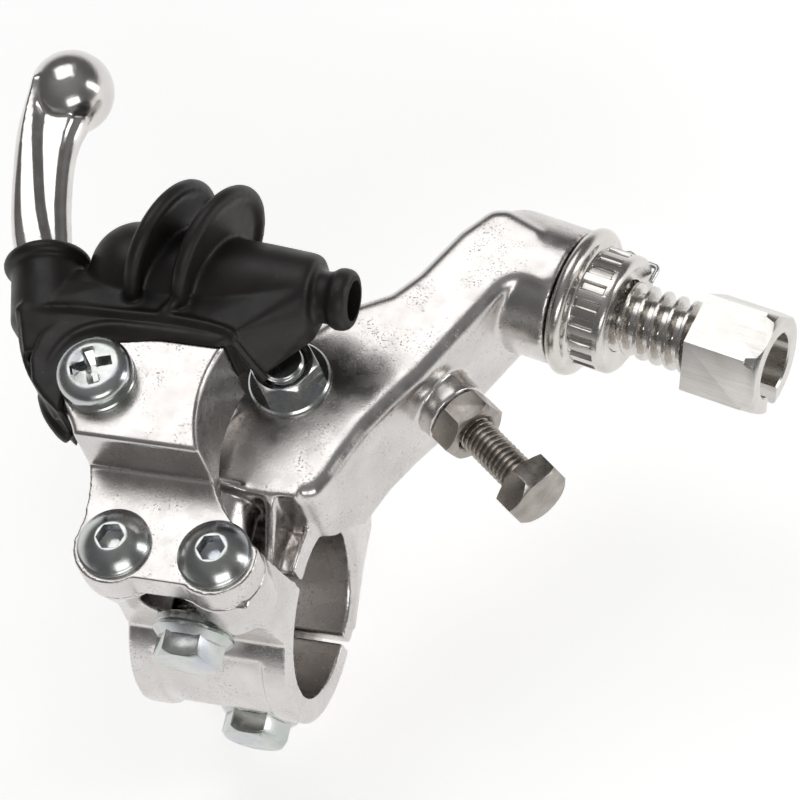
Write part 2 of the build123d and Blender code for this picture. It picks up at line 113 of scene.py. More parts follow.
def loft(name, rings, closed=False):
    """A skin over rings of points, capped at both ends unless it closes on itself."""
    bm = bmesh.new()
    rows = [[bm.verts.new(Vector(p) * MM) for p in ring] for ring in rings]
    count = len(rows[0])
    pairs = list(zip(rows, rows[1:])) + ([(rows[-1], rows[0])] if closed else [])
    for here, there in pairs:
        for i in range(count):
            j = (i + 1) % count
            bm.faces.new((here[i], here[j], there[j], there[i]))
    if not closed:
        bm.faces.new(rows[0][::-1])
        bm.faces.new(rows[-1])
    return from_bmesh(name, bm)


def axes_for(direction):
    """A direction as a unit vector, and two unit vectors across it."""
    along = Vector(direction).normalized()
    side = along.cross(UP)
    if side.length < 0.1:
        side = along.cross(Vector((0, 1, 0)))
    side.normalize()
    return along, side, along.cross(side)


def lathe(name, origin, direction, profile, segments=72):
    """A closed turned solid: profile is (distance, radius) pairs that start and end on the axis."""
    along, side, up = axes_for(direction)
    origin = Vector(origin)
    bm = bmesh.new()
    rows = []
    for distance, radius in profile:
        centre = origin + along * distance
        if radius < 1e-6:
            rows.append([bm.verts.new(centre * MM)])
            continue
        ring = []
        for i in range(segments):
            turn = 2 * pi * i / segments
            ring.append(bm.verts.new((centre + side * (radius * cos(turn)) + up * (radius * sin(turn))) * MM))
        rows.append(ring)
    for here, there in zip(rows, rows[1:]):
        for i in range(segments):
            j = (i + 1) % segments
            if len(here) == 1:
                bm.faces.new((here[0], there[i], there[j]))
            elif len(there) == 1:
                bm.faces.new((here[i], here[j], there[0]))
            else:
                bm.faces.new((here[i], here[j], there[j], there[i]))
    return from_bmesh(name, bm)


def threaded_bar(name, origin, direction, length, crest, root, pitch,
                 flat=0.25, gain=1.15, segments=64, steps=14):
    """A screw with a real right-hand helix, its crests run out over the last half turn at each end.
    flat is the crest's share of the pitch, and gain widens the ridge. Each turn has so many steps."""
    along, side, up = axes_for(direction)
    origin = Vector(origin)
    rows = int(length / pitch * steps) + 1
    rings = []
    for row in range(rows):
        distance = length * row / (rows - 1)
        fade = min(1.0, distance / (0.5 * pitch), (length - distance) / (0.5 * pitch))
        ring = []
        for i in range(segments):
            turn = 2 * pi * i / segments
            phase = (distance / pitch - turn / (2 * pi)) % 1.0
            slope = abs(phase - 0.5) * 2
            height = min(1.0, max(0.0, ((1 - slope) - (1 - 1 / gain)) / (1 - flat) * gain))
            height = height * height * (3 - 2 * height)
            radius = root + (crest - root) * height * (0.25 + 0.75 * max(fade, 0.0))
            ring.append(origin + along * distance + side * (radius * cos(turn)) + up * (radius * sin(turn)))
        rings.append(ring)
    return loft(name, rings)


def settle(piece):
    """Applies the piece's modifiers."""
    graph = bpy.context.evaluated_depsgraph_get()
    mesh = bpy.data.meshes.new_from_object(piece.evaluated_get(graph))
    piece.modifiers.clear()
    piece.data = mesh
    return piece


def fuse(piece, voxel, rounds=6):
    """Makes one skin of a piece's overlapping solids, and softens its edges."""
    remesh = piece.modifiers.new("fuse", "REMESH")
    remesh.mode = "VOXEL"
    remesh.voxel_size = voxel * MM
    smooth = piece.modifiers.new("soften", "SMOOTH")
    smooth.factor = 0.5
    smooth.iterations = rounds
    settle(piece)
    return shade(piece)


def joined(name, *parts):
    """One object that holds the faces of all the parts."""
    bm = bmesh.new()
    for part in parts:
        bm.from_mesh(part.data)
        bpy.data.objects.remove(part)
    mesh = bpy.data.meshes.new(name)
    bm.to_mesh(mesh)
    bm.free()
    return new_object(name, mesh)


def cut(piece, *tools, operation="DIFFERENCE"):
    """Takes each tool from the piece, or joins or intersects it, and removes the tool."""
    for tool in tools:
        step = piece.modifiers.new("cut", "BOOLEAN")
        step.operation = operation
        step.solver = "MANIFOLD"
        step.object = tool
        settle(piece)
        bpy.data.objects.remove(tool)
    return piece


def shade(piece, angle=None):
    """Smooth shading, broken at edges that turn by more than the angle in degrees."""
    for face in piece.data.polygons:
        face.use_smooth = True
    if angle is not None:
        piece.data.set_sharp_from_angle(angle=radians(angle))
    return piece


def welded_copy(name, node):
    """A copy of a CAD node's mesh with its split corners joined."""
    bm = bmesh.new()
    bm.from_mesh(NODES[node].data)
    bmesh.ops.remove_doubles(bm, verts=bm.verts, dist=1e-7)
    mesh = bpy.data.meshes.new(name)
    bm.to_mesh(mesh)
    bm.free()
    return new_object(name, mesh)


# ---------- materials ----------

class Paint:
    """Builds a node material around one Principled shader."""

    def __init__(self, name, **values):
        self.material = bpy.data.materials.new(name)
        self.material.use_nodes = True
        self.tree = self.material.node_tree
        self.shader = self.tree.nodes["Principled BSDF"]
        for key, value in values.items():
            self.shader.inputs[key.replace("_", " ")].default_value = value
        self.place = self.node("ShaderNodeTexCoord").outputs["Object"]
        self.bump = None

    def node(self, kind, **settings):
        made = self.tree.nodes.new(kind)
        for key, value in settings.items():
            setattr(made, key, value)
        return made

    def link(self, source, target):
        self.tree.links.new(source, target)

    def noise(self, scale, detail=4.0, roughness=0.5, stretch=None, turn=None):
        """Noise in object space, which stretch and turn can draw out into lines."""
        texture = self.node("ShaderNodeTexNoise")
        texture.inputs["Scale"].default_value = scale
        texture.inputs["Detail"].default_value = detail
        texture.inputs["Roughness"].default_value = roughness
        source = self.place
        for setting, value in (("Rotation", turn), ("Scale", stretch)):
            if value is not None:
                mapping = self.node("ShaderNodeMapping")
                mapping.inputs[setting].default_value = value
                self.link(source, mapping.inputs["Vector"])
                source = mapping.outputs["Vector"]
        self.link(source, texture.inputs["Vector"])
        return texture.outputs["Fac"]

    def ramp(self, source, *stops):
        """Colour or grey stops: (position, value)."""
        made = self.node("ShaderNodeValToRGB")
        elements = made.color_ramp.elements
        while len(elements) < len(stops):
            elements.new(0.5)
        for element, (position, value) in zip(elements, stops):
            element.position = position
            element.color = (*value, 1) if isinstance(value, tuple) else (value, value, value, 1)
        self.link(source, made.inputs["Fac"])
        return made.outputs["Color"]

    def mix(self, factor, first, second, blend="MIX"):
        """Mixes two colours, each a socket, a colour or a grey; the node's colour sockets are 6 and 7."""
        made = self.node("ShaderNodeMix", data_type="RGBA", blend_type=blend)
        for value, index in ((factor, 0), (first, 6), (second, 7)):
            if isinstance(value, bpy.types.NodeSocket):
                self.link(value, made.inputs[index])
            else:
                made.inputs[index].default_value = (*value, 1) if isinstance(value, tuple) else value
        return made.outputs[2]

    def relief(self, source, height, strength):
        """Adds a bump of a height in millimetres to those before it."""
        made = self.node("ShaderNodeBump")
        made.inputs["Strength"].default_value = strength
        made.inputs["Distance"].default_value = height * MM
        self.link(source, made.inputs["Height"])
        if self.bump is not None:
            self.link(self.bump, made.inputs["Normal"])
        self.bump = made.outputs["Normal"]

    def done(self, colour, roughness=None):
        """Links what has been made to the shader, and gives the material."""
        self.link(colour, self.shader.inputs["Base Color"])
        if roughness is not None:
            self.link(roughness, self.shader.inputs["Roughness"])
        if self.bump is not None:
            self.link(self.bump, self.shader.inputs["Normal"])
        return self.material


def cast_aluminium():
    """Tumbled die casting: bright, cloudy, with fine dark pits."""
    paint = Paint("cast_aluminium", Metallic=1.0)
    cloud = paint.noise(160, 5.0)
    grain = paint.noise(2600, 3.0, 0.6)
    specks = paint.ramp(paint.noise(3400, 2.0, 0.6), (0.58, 0.0), (0.72, 1.0))
    where = paint.ramp(paint.noise(260, 3.0), (0.45, 0.0), (0.62, 1.0))
    pits = paint.mix(1.0, specks, where, blend="MULTIPLY")
    tone = paint.ramp(cloud, (0.3, (0.60, 0.572, 0.555)), (0.7, (0.71, 0.685, 0.665)))
    colour = paint.mix(pits, tone, (0.30, 0.28, 0.27))
    gloss = paint.ramp(paint.noise(420, 5.0), (0.3, 0.20), (0.72, 0.33))
    paint.relief(grain, 0.018, 0.6)
    paint.relief(pits, -0.02, 0.8)
    return paint.done(colour, gloss)


def polished_aluminium():
    """The forged finger piece: nearly mirror bright, with faint polishing waves."""
    paint = Paint("polished_aluminium", Metallic=1.0)
    tone = paint.ramp(paint.noise(140, 4.0), (0.3, (0.62, 0.595, 0.575)), (0.7, (0.74, 0.72, 0.70)))
    gloss = paint.ramp(paint.noise(600, 5.0), (0.3, 0.13), (0.75, 0.26))
    paint.relief(paint.noise(900, 4.0), 0.02, 0.35)
    return paint.done(tone, gloss)


def turned_aluminium(turn):
    """Bright bar stock with fine drawing lines along the adjuster's axis."""
    paint = Paint("turned_aluminium", Metallic=1.0)
    lines = paint.noise(1.0, 3.0, 0.6, stretch=(160, 5200, 5200), turn=(0, 0, turn))
    tone = paint.ramp(paint.noise(300, 4.0), (0.3, (0.60, 0.575, 0.545)), (0.7, (0.71, 0.69, 0.66)))
    gloss = paint.ramp(lines, (0.3, 0.17), (0.7, 0.30))
    paint.relief(lines, 0.006, 0.4)
    return paint.done(tone, gloss)


def zinc_steel():
    """Clear zinc plate, with its faint green and blue casts."""
    paint = Paint("zinc_steel", Metallic=1.0)
    cast = paint.ramp(paint.noise(190, 3.0), (0.3, (0.46, 0.51, 0.475)), (0.5, (0.58, 0.59, 0.575)),
                      (0.72, (0.48, 0.505, 0.56)))
    gloss = paint.ramp(paint.noise(800, 4.0), (0.3, 0.16), (0.72, 0.30))
    paint.relief(paint.noise(2200, 3.0), 0.010, 0.4)
    return paint.done(cast, gloss)


def stainless_steel():
    """Drawn stainless steel, warm and a little dark."""
    paint = Paint("stainless_steel", Metallic=1.0)
    tone = paint.ramp(paint.noise(400, 4.0), (0.3, (0.30, 0.27, 0.245)), (0.7, (0.44, 0.41, 0.375)))
    gloss = paint.ramp(paint.noise(1200, 4.0), (0.3, 0.24), (0.72, 0.40))
    paint.relief(paint.noise(2600, 3.0), 0.010, 0.5)
    return paint.done(tone, gloss)


def spring_steel():
    """Bright spring wire."""
    paint = Paint("spring_steel", Metallic=1.0)
    tone = paint.ramp(paint.noise(900, 3.0), (0.3, (0.52, 0.52, 0.53)), (0.7, (0.68, 0.68, 0.68)))
    gloss = paint.ramp(paint.noise(2000, 3.0), (0.3, 0.20), (0.7, 0.34))
    return paint.done(tone, gloss)


def brass_bush():
    """Bearing bronze."""
    paint = Paint("brass_bush", Metallic=1.0)
    tone = paint.ramp(paint.noise(500, 4.0), (0.3, (0.62, 0.47, 0.24)), (0.7, (0.74, 0.58, 0.32)))
    gloss = paint.ramp(paint.noise(1500, 3.0), (0.3, 0.26), (0.7, 0.40))
    return paint.done(tone, gloss)


def black_rubber():
    """Moulded rubber: satin black with a fine skin and dusty, scuffed patches."""
    paint = Paint("black_rubber", Specular_IOR_Level=0.42)
    dust = paint.ramp(paint.noise(220, 5.0), (0.35, (0.012, 0.0098, 0.0090)), (0.75, (0.024, 0.020, 0.0185)))
    flecks = paint.ramp(paint.noise(1900, 2.0), (0.70, 0.0), (0.78, 1.0))
    colour = paint.mix(flecks, dust, (0.060, 0.055, 0.052))
    gloss = paint.ramp(paint.noise(340, 5.0), (0.3, 0.36), (0.72, 0.52))
    paint.relief(paint.noise(2400, 3.0), 0.012, 0.5)
    paint.relief(paint.noise(320, 3.0), 0.05, 0.25)
    return paint.done(colour, gloss)


# ---------- places that the joints give ----------

def joint_named(name):
    return next(joint for joint in frame["record"]["behaviour"]["joints"] if joint["name"] == name)


WHEEL_JOINT = joint_named("wheel_turn")
ADJUSTER_START = Vector(WHEEL_JOINT["pos_m"]) / MM
ADJUSTER_AXIS = Vector(WHEEL_JOINT["axis"]).normalized()
STOP_AXIS = -Vector(joint_named("reach_travel")["axis"]).normalized()
HOT_PIVOT = Vector(joint_named("hot_start_pivot")["pos_m"]) / MM

MATERIALS = {
    "cast_aluminium": cast_aluminium(),
    "polished_aluminium": polished_aluminium(),
    "turned_aluminium": turned_aluminium(-atan2(ADJUSTER_AXIS.y, ADJUSTER_AXIS.x)),
    "zinc_steel": zinc_steel(),
    "stainless_steel": stainless_steel(),
    "spring_steel": spring_steel(),
    "brass_bush": brass_bush(),
    "black_rubber": black_rubber(),
}


def finish_piece(piece, slot_name):
    """Gives a piece the material of its slot."""
    piece.data.materials.clear()
    piece.data.materials.append(MATERIALS[slot_name])
    return piece


def mount(piece, body, slot_name, *nodes):
    """Puts a piece on a body, in place of the CAD nodes that are named."""
    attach(piece, body)
    if nodes:
        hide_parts(*nodes)
    return finish_piece(piece, slot_name)


# ---------- castings ----------

def soft_casting(node, voxel, rounds):
    """A casting has no sharp edges: the CAD shape with every edge rounded over."""
    return mount(fuse(welded_copy(node + "_cast", node), voxel, rounds), "perch", "cast_aluminium", node)


soft_casting("perch_body", 0.28, 14)
soft_casting("clamp_cap", 0.26, 10)
soft_casting("hot_start_bracket", 0.24, 6)


# ---------- screws and nuts ----------

M5_THREAD, M6_THREAD = (2.42, 1.98, 0.8), (2.9, 2.45, 1.0)  # crest radius, root radius, pitch
M5_FLATS = M6_FLATS = 8.0
BOLT_FLANGE = [(0, 0), (0, 5.05), (0.2, 5.28), (0.55, 5.28), (0.85, 5.0), (1.5, 4.3), (1.5, 0)]
SCREW_SHARP = 24  # the angle in degrees from which an edge of a screw is shaded sharp
CLAMP_TILT = 7.5
BOLT_OFFSET, BOLT_SEAT = 16.5, 9.7
LEVER_PIVOT = (5.5, 21.6)
ARM_BOTTOM, ARM_TOP = 4.0, 22.0
STOP_START = Vector((25.3, 24.4, 13.0))
STOP_ANGLE = radians(-36.7)
STOP_ACROSS = Vector((sin(STOP_ANGLE), -cos(STOP_ANGLE), 0))


def along_axis(origin, axis, distance):
    """The point at a distance from the origin along an axis."""
    return Vector(origin) + Vector(axis).normalized() * distance


def flat_direction(axis, turn, start):
    """A unit vector across an axis, turned about it from a starting direction."""
    return Matrix.Rotation(radians(turn), 3, Vector(axis).normalized()) @ Vector(start)


def hexagon(name, origin, axis, flats, height, flat, chamfers=(0.0, 0.6), bore=0.0):
    """A hexagon whose corners are turned off at its ends, bored if asked.
    flat is the direction that one of its flats faces."""
    axis = Vector(axis).normalized()
    corner = Matrix.Rotation(radians(30), 3, axis) @ Vector(flat).normalized()
    reach = flats / sqrt(3)
    points = []
    for i in range(6):
        spoke = Matrix.Rotation(radians(60 * i), 3, axis) @ corner
        points += [Vector(origin) + spoke * reach, Vector(origin) + spoke * reach + axis * height]
    piece = hull(name, points)
    near, far = chamfers
    rim, corner_r, clear = flats / 2 - 0.1, reach + 0.02, reach + 1
    turned = lathe(name + "_turned", along_axis(origin, axis, -0.01), axis, [
        (0, 0), (0, rim if near else clear), (near + 0.01, corner_r if near else clear),
        (height - far, corner_r if far else clear), (height + 0.02, rim if far else clear),
        (height + 0.02, 0)], 96)
    cut(piece, turned, operation="INTERSECT")
    if bore:
        mouth = bore + 0.5
        cut(piece, lathe(name + "_bore", along_axis(origin, axis, -1), axis, [
            (0, 0), (0, bore), (height + 1 - 0.45, bore), (height + 1.02, mouth), (height + 2, mouth),
            (height + 2, 0)], 64))
    return piece


def edged(piece, width, angle=35, segments=2):
    """Breaks the sharp edges of a machined piece."""
    bevel = piece.modifiers.new("edge", "BEVEL")
    bevel.width = width * MM
    bevel.segments = segments
    bevel.limit_method = "ANGLE"
    bevel.angle_limit = radians(angle)
    settle(piece)
    return shade(piece, 18)


def washer(name, origin, axis, outer, inner, thick):
    """A ring with softened outer edges."""
    soft = min(0.25, thick / 3)
    ring = [(0, inner), (0, outer - soft), (soft, outer), (thick - soft, outer), (thick, outer - soft),
            (thick, inner)]
    along, side, up = axes_for(axis)
    rings = []
    for i in range(72):
        turn = 2 * pi * i / 72
        out = side * cos(turn) + up * sin(turn)
        rings.append([Vector(origin) + along * distance + out * radius for distance, radius in ring])
    return shade(loft(name, rings, closed=True), 30)


TILT = Matrix.Rotation(radians(CLAMP_TILT), 3, "X")
REARWARD = TILT @ Vector((0, -1, 0))


def clamp_bolt(index, side):
    """An M6 flange bolt: hexagon, flange and threaded shank."""
    seat = TILT @ Vector((0, -BOLT_SEAT, side * BOLT_OFFSET))
    name = f"clamp_bolt_{index}"
    shank = threaded_bar(name, seat - REARWARD * 19.9, REARWARD, 20.4, *M6_THREAD)
    head = hexagon(name + "_head", seat + REARWARD * 0.6, REARWARD, M6_FLATS, 3.8, TILT @ UP, (0.0, 0.75))
    head = edged(head, 0.09)
    flange = lathe(name + "_flange", seat, REARWARD, BOLT_FLANGE)
    return shade(joined(name, shank, head, flange), SCREW_SHARP)


mount(clamp_bolt(1, 1), "perch", "zinc_steel", "clamp_bolts")
mount(clamp_bolt(2, -1), "perch", "zinc_steel")


def make_pivot_bolt():
    """The clutch lever's pivot: an M6 flange bolt with its head under the fork."""
    seat = Vector((*LEVER_PIVOT, ARM_BOTTOM))
    shank = threaded_bar("pivot_bolt", seat, UP, 23.3, *M6_THREAD)
    head = hexagon("pivot_bolt_head", seat + DOWN * 0.6, DOWN, M6_FLATS, 3.55, (0, 1, 0), (0.0, 0.75))
    head = edged(head, 0.14)
    flange = lathe("pivot_bolt_flange", seat, DOWN, BOLT_FLANGE)
    return shade(joined("pivot_bolt", shank, head, flange), SCREW_SHARP)


def make_pivot_nut():
    """Flange nut, its hexagon chamfered at the top and round the thread."""
    seat = Vector((*LEVER_PIVOT, ARM_TOP))
    flat = flat_direction(UP, 10, (0, 1, 0))
    nut = edged(hexagon("pivot_nut", seat + UP * 0.5, UP, M6_FLATS, 4.3, flat, (0.0, 0.7), bore=3.0), 0.12)
    flange = washer("pivot_nut_flange", seat, UP, 5.38, 3.0, 1.0)
    return shade(joined("pivot_nut", nut, flange), SCREW_SHARP)


mount(make_pivot_bolt(), "perch", "zinc_steel", "lever_pivot_bolt")
mount(make_pivot_nut(), "perch", "zinc_steel", "lever_pivot_nut")


def stop_flat(turn):
    """The direction of a flat of the stop screw's hexagons, in degrees from its level one."""
    return flat_direction(STOP_AXIS, turn, STOP_ACROSS)


def make_stop_screw():
    """M5 reach stop screw with a hexagon head, threaded all along."""
    screw = threaded_bar("stop_screw", STOP_START - STOP_AXIS * 16.6, STOP_AXIS, 30.3, *M5_THREAD)
    head = hexagon("stop_screw_head", STOP_START + STOP_AXIS * 13.4, STOP_AXIS, M5_FLATS, 3.6, stop_flat(12),
                   (0.25, 0.75))
    return shade(joined("stop_screw", screw, edged(head, 0.14)), SCREW_SHARP)


def make_stop_locknut():
    """M5 nut that locks the stop screw against the boss on the arm."""
    nut = hexagon("stop_locknut", STOP_START, STOP_AXIS, M5_FLATS, 4.0, stop_flat(20), (0.6, 0.6), bore=2.5)
    return edged(nut, 0.12)


mount(make_stop_screw(), "reach_screw", "stainless_steel", "stop_screw")
mount(make_stop_locknut(), "perch", "stainless_steel", "stop_locknut")


def button_screw(index, x, y):
    """M5 button head with a hexagon socket."""
    name = f"bracket_screw_{index}"
    dome = [(0, 0), (0, 4.55), (0.18, 4.74), (0.5, 4.74)]
    sphere, crown, low, high = 5.82, 2.75, 0.62, 2.40
    for i in range(14):
        height = low + (high - low) * i / 13
        dome.append((height, sqrt(max(sphere ** 2 - (height - crown + sphere) ** 2, 0.0))))
    dome = [pair for pair in dome if pair[1] < 4.75 or pair[0] == 0] + [(high, 0)]
    head = lathe(name, (x, y, 28.8), UP, dome, 96)
    socket = hull(name + "_socket", [
        (x + r * cos(radians(60 * i + 12)), y + r * sin(radians(60 * i + 12)), level)
        for i in range(6) for r, level in ((1.84, 35.0), (1.84, 29.4), (0.4, 28.95))])
    cut(head, socket)
    shank = threaded_bar(name + "_shank", (x, y, 18.9), UP, 10.2, *M5_THREAD)
    return shade(joined(name, edged(head, 0.07, 40), shank), SCREW_SHARP)


mount(button_screw(1, 4.9, -7.1), "perch", "zinc_steel", "bracket_screws")
mount(button_screw(2, -8.3, -7.5), "perch", "zinc_steel")


def make_pan_screw():
    """M5 pan head with a tapered cross recess: two crossed blades and a wider middle."""
    x, y = HOT_PIVOT.x, HOT_PIVOT.y
    seat, wall, rim = 37.8, 1.25, 4.88
    profile = [(0, 0), (0, rim - 0.16), (0.16, rim), (wall, rim)]
    for i in range(1, 13):
        turn = radians(7.5 * i)
        profile.append((wall + 1.75 * sin(turn), rim - 2.2 * (1 - cos(turn))))
    profile += [(3.25, 1.6), (3.32, 0)]
    head = lathe("pan_screw", (x, y, seat), UP, profile, 96)
    blade = ((3.05, 0.78, 4.2), (2.5, 0.62, 2.3), (1.2, 0.35, 0.9))
    middle = ((1.22, 1.22, 4.2), (0.95, 0.95, 2.2), (0.3, 0.3, 0.9))
    for turn, corners in ((25, blade), (115, blade), (70, middle), (160, middle)):
        spin = Matrix.Rotation(radians(turn), 3, "Z")
        cut(head, hull("pan_recess", [spin @ Vector((sx * a, sy * b, seat + c)) + Vector((x, y, 0))
                                      for a, b, c in corners for sx in (1, -1) for sy in (1, -1)]))
    shank = threaded_bar("pan_shank", (x, y, 19.0), UP, seat - 18.9, *M5_THREAD)
    return shade(joined("pan_screw", edged(head, 0.10, 40), shank), SCREW_SHARP)


mount(make_pan_screw(), "perch", "zinc_steel", "hot_pivot_screw")


# ---------- cable adjuster ----------

ADJUSTER_ACROSS = Vector((ADJUSTER_AXIS.y, -ADJUSTER_AXIS.x, 0))
HEX_START, HEX_LENGTH, HEX_FLATS = 17.0, 10.2, 12.8
BARREL_START, BARREL_THREAD = -1.5, (4.8, 3.55, 2.03)
CABLE_R, CASING_R, CABLE_SLOT = 1.5, 4.3, 2.6
WHEEL_R, WHEEL_FLUTES, FLUTE_DEPTH = 7.9, 20, 0.46
DETENT_ANGLE, DETENT_AT = radians(176), 1.9


def on_adjuster(distance):
    """The point of the adjuster's axis at a distance from the wheel's flange."""
    return ADJUSTER_START + ADJUSTER_AXIS * distance


def make_barrel():
    """Slotted barrel: coarse thread, hexagon with a turned end, and a counterbore for the cable's casing."""
    piece = hexagon("adjuster_barrel", on_adjuster(HEX_START), ADJUSTER_AXIS, HEX_FLATS, HEX_LENGTH, DOWN,
                    (0.0, 0.0))
    turned = lathe("barrel_turned", on_adjuster(HEX_START - 1), ADJUSTER_AXIS, [
        (0, 0), (0, 9), (9.4, 9), (9.4, 7.15), (10.7, 6.95), (11.19, 6.45), (11.19, 0)], 96)
    cut(piece, turned, operation="INTERSECT")
    edged(piece, 0.12, 25)
    thread = threaded_bar("barrel_thread", on_adjuster(BARREL_START), ADJUSTER_AXIS, 18.8, *BARREL_THREAD,
                          flat=0.30, gain=1.5, segments=72, steps=20)
    cut(piece, thread, operation="UNION")
    mouth = CASING_R + 0.35
    cut(piece, lathe("barrel_bore", on_adjuster(-3), ADJUSTER_AXIS, [
        (0, 0), (0, CABLE_R), (24.2, CABLE_R), (24.2, CASING_R), (29.95, CASING_R), (30.3, mouth),
        (34, mouth), (34, 0)], 96))
    # the cable slot leaves through the lower corner of the hexagon
    out = ADJUSTER_ACROSS * cos(radians(60)) + DOWN * sin(radians(60))
    side = ADJUSTER_AXIS.cross(out)
    cut(piece, hull("barrel_slot", [on_adjuster(s) + out * r + side * w for s in (-3, 30) for r in (0, 10)
                                    for w in (-CABLE_SLOT / 2, CABLE_SLOT / 2)]))
    return edged(piece, 0.07, 50, 1)


def detent_point(distance, radius):
    """A point of the plane through the adjuster's axis in which the detent wire lies."""
    out = ADJUSTER_ACROSS * cos(DETENT_ANGLE) + DOWN * sin(DETENT_ANGLE)
    return on_adjuster(distance) + out * radius


def make_wheel():
    """Thumbwheel: a rounded flange, a splined barrel and a plain collar."""
    bore, flange_half, flute_start, flute_end = 4.9, 1.1, 1.55, 5.0
    outline = [(-flange_half, bore), (-flange_half, 8.9)]
    for i in range(13):
        turn = radians(-90 + 15 * i)
        outline.append((flange_half * sin(turn), 8.8 + flange_half * cos(turn)))
    outline += [(1.1, 8.6), (1.2, 8.2), (1.36, 7.98)]
    outline += [(distance, WHEEL_R) for distance in (flute_start, 1.64, 1.74, 3.2, 4.7, 4.9, flute_end, 5.5)]
    outline += [(5.85, 7.82), (6.12, 7.6), (6.28, 7.3), (6.3, 7.0), (6.15, 6.5), (5.9, 5.6), (5.9, bore)]
    rows, count = [], 24 * WHEEL_FLUTES
    for distance, radius in outline:
        ring = []
        for i in range(count):
            turn = 2 * pi * i / count
            wave = (cos(WHEEL_FLUTES * turn) + 1) / 2
            depth = 0.0
            if flute_start + 0.05 < distance < flute_end and radius > 7.5:
                edge = min(1.0, (distance - flute_start) / 0.19, (flute_end - distance) / 0.3)
                depth = FLUTE_DEPTH * edge * (1 - min(1.0, max(0.0, (wave - 0.34) * 4.5)))
            r = radius - depth
            ring.append(on_adjuster(distance) + ADJUSTER_ACROSS * (r * cos(turn)) + DOWN * (r * sin(turn)))
        rows.append(ring)
    wheel = loft("adjuster_wheel", rows, closed=True)
    seat = detent_point(DETENT_AT, 5.5)
    out = (detent_point(DETENT_AT, 9.0) - seat).normalized()
    cut(wheel, lathe("detent_seat", seat, out, [(0, 0), (0, 0.46), (5, 0.46), (5, 0)], 24))
    return shade(wheel, 30)


mount(make_barrel(), "barrel", "turned_aluminium", "adjuster_barrel")
mount(make_wheel(), "wheel", "turned_aluminium", "adjuster_wheel")


# ---------- hot start lever ----------

LEVER_LINE = [(-25.4, 23.6, 32.1), (-26.5, 26.6, 32.3), (-28.0, 30.2, 32.6), (-29.6, 35.0, 32.9),
              (-31.0, 40.8, 33.0), (-31.7, 45.4, 33.0), (-31.6, 49.0, 33.0), (-31.2, 51.6, 33.0),
              (-30.9, 53.6, 33.0)]
BALL, BALL_R = Vector((-30.9, 53.6, 33.0)), 5.6
PLATE_LOW, PLATE_HIGH = 30.15, 34.05


def smooth_line(points, steps):
    """A Catmull-Rom line through some points."""
    points = [Vector(p) for p in points]
    padded = [points[0] * 2 - points[1]] + points + [points[-1] * 2 - points[-2]]
    line = []
    for p0, p1, p2, p3 in zip(padded, padded[1:], padded[2:], padded[3:]):
        for step in range(steps):
            t = step / steps
            line.append(0.5 * (2 * p1 + (p2 - p0) * t + (2 * p0 - 5 * p1 + 4 * p2 - p3) * t * t
                               + (3 * p1 - p0 - 3 * p2 + p3) * t ** 3))
    return line + [points[-1]]


def make_finger():
    """The lever's finger piece: it swells from the plate, necks down to the ball and has a raised rim."""
    line = smooth_line(LEVER_LINE, 6)
    rings = []
    for i, centre in enumerate(line):
        share = i / (len(line) - 1)
        tangent = (line[min(i + 1, len(line) - 1)] - line[max(i - 1, 0)]).normalized()
        across = tangent.cross(UP).normalized()
        swell = min(1.0, share / 0.3)
        neck = max(0.0, (share - 0.5) / 0.5) ** 1.35
        half = 3.1 + 0.65 * swell + 0.25 * min(1.0, share / 0.6) + 1.35 * neck
        thick = 1.9 + 1.1 * swell + 2.5 * neck
        rim = 1.0 - max(0.0, (share - 0.90) / 0.10)
        crease = 0.30 - 0.62 * min(1.0, max(0.0, (share - 0.25) / 0.5))
        section = []
        for w, h in ((-1.0, 0.0), (-0.98, 0.36), (-0.90, 0.66), (-0.76, 0.88), ((crease - 1) / 2 - 0.08, 1.0),
                     (crease - 0.16, 0.97), (crease - 0.02, 0.80), (crease + 0.10, 0.66),
                     ((crease + 0.6) / 2, 0.64), (0.58, 0.62), (0.66, 0.50), (0.88, 0.36), (1.0, 0.10)):
            round_h = sqrt(max(0.0, 1 - w * w))
            section.append((w, h * rim + round_h * (1 - rim)))
        loop = section + [(w, -h) for w, h in reversed(section[1:])]
        rings.append([centre + across * (w * half) + UP * (h * thick) for w, h in loop])
    return loft("lever_finger", rings)


def drill(name, place, radius, segments=72):
    """A tool for a hole straight down through the hot start lever."""
    return lathe(name, (*place, 20), UP, [(0, 0), (0, radius), (30, radius), (30, 0)], segments)


def make_lever():
    """Forged lever: flat plate on the pivot, finger piece and ball."""
    x, y = HOT_PIVOT.x, HOT_PIVOT.y
    outline = [(x - 4.9, y), (x + 4.7, y + 1.0), (-7.4, 24.0), (-7.7, 29.6), (-8.6, 30.2), (-12.9, 30.2),
               (-14.1, 29.4), (-17.4, 23.8), (-22.4, 24.4), (-24.6, 27.0), (-28.0, 26.4), (-25.0, 19.4)]
    plate = slab("lever_plate", outline, PLATE_LOW, PLATE_HIGH)
    thick = PLATE_HIGH - PLATE_LOW
    hub = lathe("lever_hub", (x, y, PLATE_LOW), UP, [(0, 0), (0, 5.15), (thick, 5.15), (thick, 0)])
    half_circle = [pi * i / 24 for i in range(25)]
    ball = lathe("lever_ball", BALL + DOWN * BALL_R, UP,
                 [(BALL_R - BALL_R * cos(turn), max(BALL_R * sin(turn), 0.0)) for turn in half_circle])
    piece = fuse(joined("hot_start_lever", plate, hub, make_finger(), ball), 0.20, 6)
    cut(piece, drill("lever_eye", (x, y), 3.2), drill("lever_nipple", (-10.6, 27.6), 1.9, 48))
    return shade(piece, 60)


mount(make_lever(), "hot_lever", "polished_aluminium", "hot_start_lever")


# ---------- rubber boot ----------

